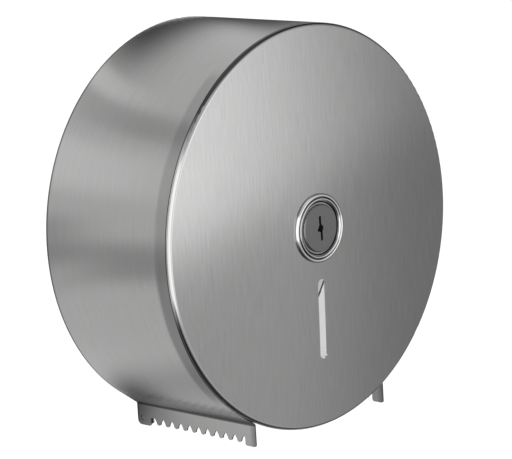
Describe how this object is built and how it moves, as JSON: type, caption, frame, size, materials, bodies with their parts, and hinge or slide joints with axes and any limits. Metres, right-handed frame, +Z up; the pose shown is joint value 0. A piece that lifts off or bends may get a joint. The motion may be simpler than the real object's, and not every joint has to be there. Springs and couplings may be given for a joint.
{
  "type": "jumbo toilet roll dispenser",
  "caption": "Wall-mounted round sheet-steel drum for a jumbo roll, with a hinged keyed front, a free-turning roll hub and two toothed tear bars at the paper outlet.",
  "frame": {"origin": "centre of the four wall screws, on the wall plane, on the drum's axis", "axes": "+Y into the wall, -Y out towards the user, +Z up, +X to the user's right"},
  "size_m": [0.27, 0.1205, 0.2702],
  "materials": {
    "brushed_front": "stainless sheet, brushed upright, satin",
    "brushed_wall": "stainless sheet, brushed round the drum, satin",
    "plain_sheet": "stainless sheet with its mill finish",
    "bright_pin": "bright stainless steel",
    "turned_steel": "turned or pressed zinc-plated steel",
    "spring_steel": "blackened spring steel",
    "cast_zinc": "die-cast zinc, as cast",
    "chrome_trim": "bright chrome",
    "satin_plug": "satin grey plated zinc",
    "nylon": "natural nylon",
    "felt": "pressed felt",
    "grey_plastic": "moulded plastic, fine texture"
  },
  "bodies": {
    "wall_unit": {"back_plate": "plain_sheet", "hinge_pins": "bright_pin", "hinge_washers": "nylon", "spindle_foot": "plain_sheet", "spindle_rivets": "bright_pin", "spindle_tube": "bright_pin", "spindle_plug": "turned_steel", "brake_washer": "felt", "hub_washer": "nylon", "retaining_ring": "spring_steel", "latch_keeper": "plain_sheet", "keeper_screw": "bright_pin"},
    "hub": {"roll_hub": "grey_plastic"},
    "cover": {"side_wall": "brushed_wall", "front_cover": "brushed_front", "lock_housing": "cast_zinc", "lock_bezel": "chrome_trim", "detent_spring": "spring_steel", "detent_ball": "bright_pin"},
    "lock": {"lock_plug": "satin_plug", "cam_collar": "turned_steel", "lock_cam": "turned_steel", "cam_screw": "bright_pin", "cam_washer": "turned_steel"}
  },
  "joints": [
    {"name": "cover_hinge", "type": "hinge", "parent": "wall_unit", "child": "cover", "pos_m": [0, -0.0056, -0.1303], "axis": [1, 0, 0], "range_deg": [0, 90]},
    {"name": "hub_spin", "type": "hinge", "parent": "wall_unit", "child": "hub", "pos_m": [0, -0.048, 0], "axis": [0, -1, 0], "continuous": true},
    {"name": "lock_turn", "type": "hinge", "parent": "cover", "child": "lock", "pos_m": [0, -0.12, 0], "axis": [0, 1, 0], "range_deg": [0, 90]}
  ]
}
